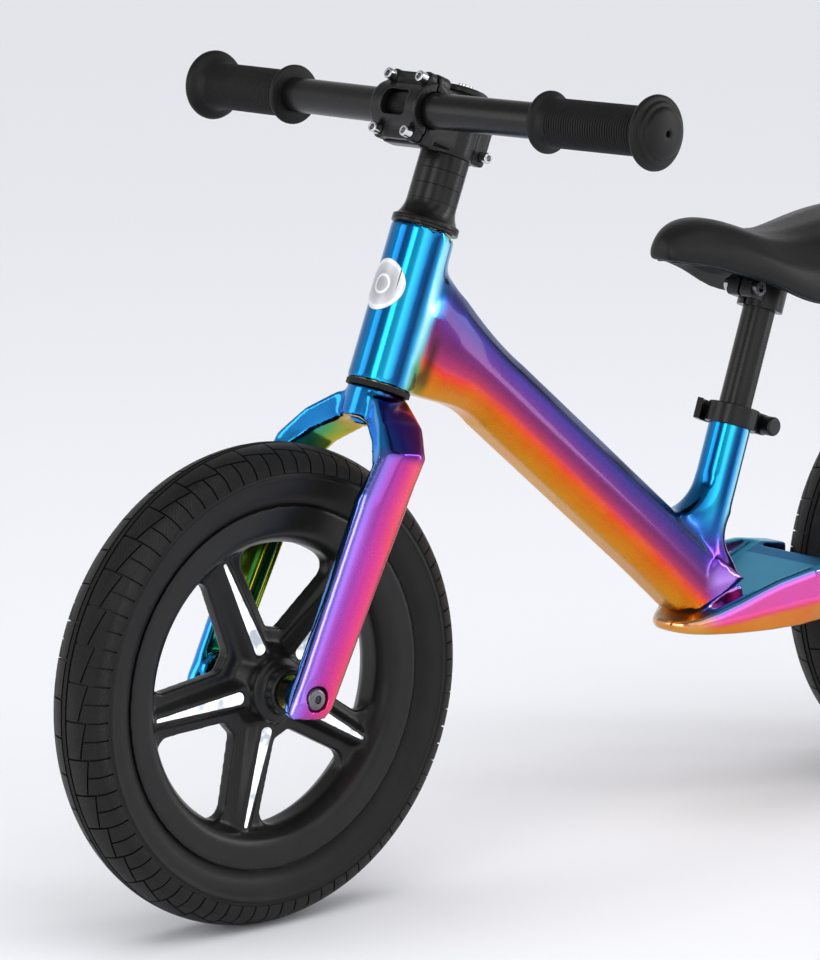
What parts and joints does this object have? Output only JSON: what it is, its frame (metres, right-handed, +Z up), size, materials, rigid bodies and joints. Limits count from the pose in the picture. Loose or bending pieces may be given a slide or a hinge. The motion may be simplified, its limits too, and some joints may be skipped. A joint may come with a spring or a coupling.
{
  "type": "balance bike",
  "caption": "Child's balance bike with cast colour-shift frame, footrests, light-up five-spoke wheels, straight bar and quick-release seat",
  "frame": {"origin": "on the ground, midway between the two wheels' contact points", "axes": "+X forwards to the front wheel, +Y to the rider's left, +Z up"},
  "size_m": [0.934, 0.4304, 0.5215],
  "materials": {
    "colour_shift_metal": "polished, with a rainbow colour-shift coat",
    "black_wheel_casting": "satin black cast alloy",
    "tyre_rubber": "matte rubber with a moulded tread",
    "core_foam": "closed-cell foam",
    "light_lens": "clear to white light strips",
    "light_board": "potted circuit ring",
    "magnet": "plated magnet ring",
    "bearing_steel": "ground steel",
    "black_alloy": "satin black anodised",
    "black_steel": "black oxide",
    "bright_steel": "zinc plated",
    "axle_black": "black anodised",
    "bare_alloy": "drawn alloy tube",
    "badge_metal": "brushed disc",
    "seal_rubber": "moulded rubber",
    "grip_rubber": "ribbed matte rubber",
    "saddle_skin": "fine-grained matte black synthetic leather",
    "saddle_shell": "moulded black plastic"
  },
  "bodies": {
    "frame": {"main_frame": "colour_shift_metal", "rear_yoke": "colour_shift_metal", "head_badge": "badge_metal", "lower_headset_bearing": "bearing_steel", "upper_headset_bearing": "bearing_steel", "seat_collar": "black_alloy", "collar_skewer": "bright_steel", "collar_nut": "black_alloy", "rear_axle": "bright_steel", "rear_axle_spacers": "axle_black", "rear_magnet_core": "magnet", "rear_axle_bolts": "black_steel"},
    "quick_release_lever": {"collar_lever": "black_alloy"},
    "steering": {"fork": "colour_shift_metal", "steerer_tube": "bare_alloy", "crown_race": "bearing_steel", "lower_seal": "seal_rubber", "headset_cover": "black_alloy", "headset_spacers": "black_alloy", "stem": "black_alloy", "stem_faceplate": "black_alloy", "faceplate_bolts": "bright_steel", "stem_pinch_bolts": "bright_steel", "top_cap": "black_alloy", "top_cap_bolt": "bright_steel", "star_nut": "bright_steel", "handlebar": "black_alloy", "left_grip": "grip_rubber", "right_grip": "grip_rubber", "front_axle": "bright_steel", "front_axle_spacers": "axle_black", "front_magnet_core": "magnet", "front_axle_bolts": "black_steel"},
    "front_wheel_body": {"front_wheel": "black_wheel_casting", "front_led_strips": "light_lens", "front_led_ring": "light_board", "front_hub_bearings": "bearing_steel", "front_tyre": "tyre_rubber", "front_tyre_core": "core_foam"},
    "rear_wheel_body": {"rear_wheel": "black_wheel_casting", "rear_led_strips": "light_lens", "rear_led_ring": "light_board", "rear_hub_bearings": "bearing_steel", "rear_tyre": "tyre_rubber", "rear_tyre_core": "core_foam"},
    "seat": {"seatpost": "black_alloy", "seatpost_plug": "seal_rubber", "saddle_cover": "saddle_skin", "saddle_base": "saddle_shell", "saddle_rails": "black_steel", "saddle_clamp": "black_alloy", "saddle_clamp_bolt": "black_steel", "saddle_clamp_nut": "bright_steel"}
  },
  "joints": [
    {"name": "steering_turn", "type": "hinge", "parent": "frame", "child": "steering", "pos_m": [0.22159, 0, 0.326], "axis": [-0.3584, 0, 0.9336], "range_deg": [-80, 80]},
    {"name": "front_wheel_spin", "type": "hinge", "parent": "steering", "child": "front_wheel_body", "pos_m": [0.317, 0, 0.15], "axis": [0, 1, 0], "continuous": true},
    {"name": "rear_wheel_spin", "type": "hinge", "parent": "frame", "child": "rear_wheel_body", "pos_m": [-0.317, 0, 0.15], "axis": [0, 1, 0], "continuous": true},
    {"name": "seat_height", "type": "slide", "parent": "frame", "child": "seat", "axis": [-0.3173, 0, 0.9483], "range_m": [-0.045, 0.03]},
    {"name": "lever_open", "type": "hinge", "parent": "frame", "child": "quick_release_lever", "pos_m": [-0.11765, -0.016, 0.26707], "axis": [0.3173, 0, -0.9483], "range_deg": [0, 140]}
  ]
}
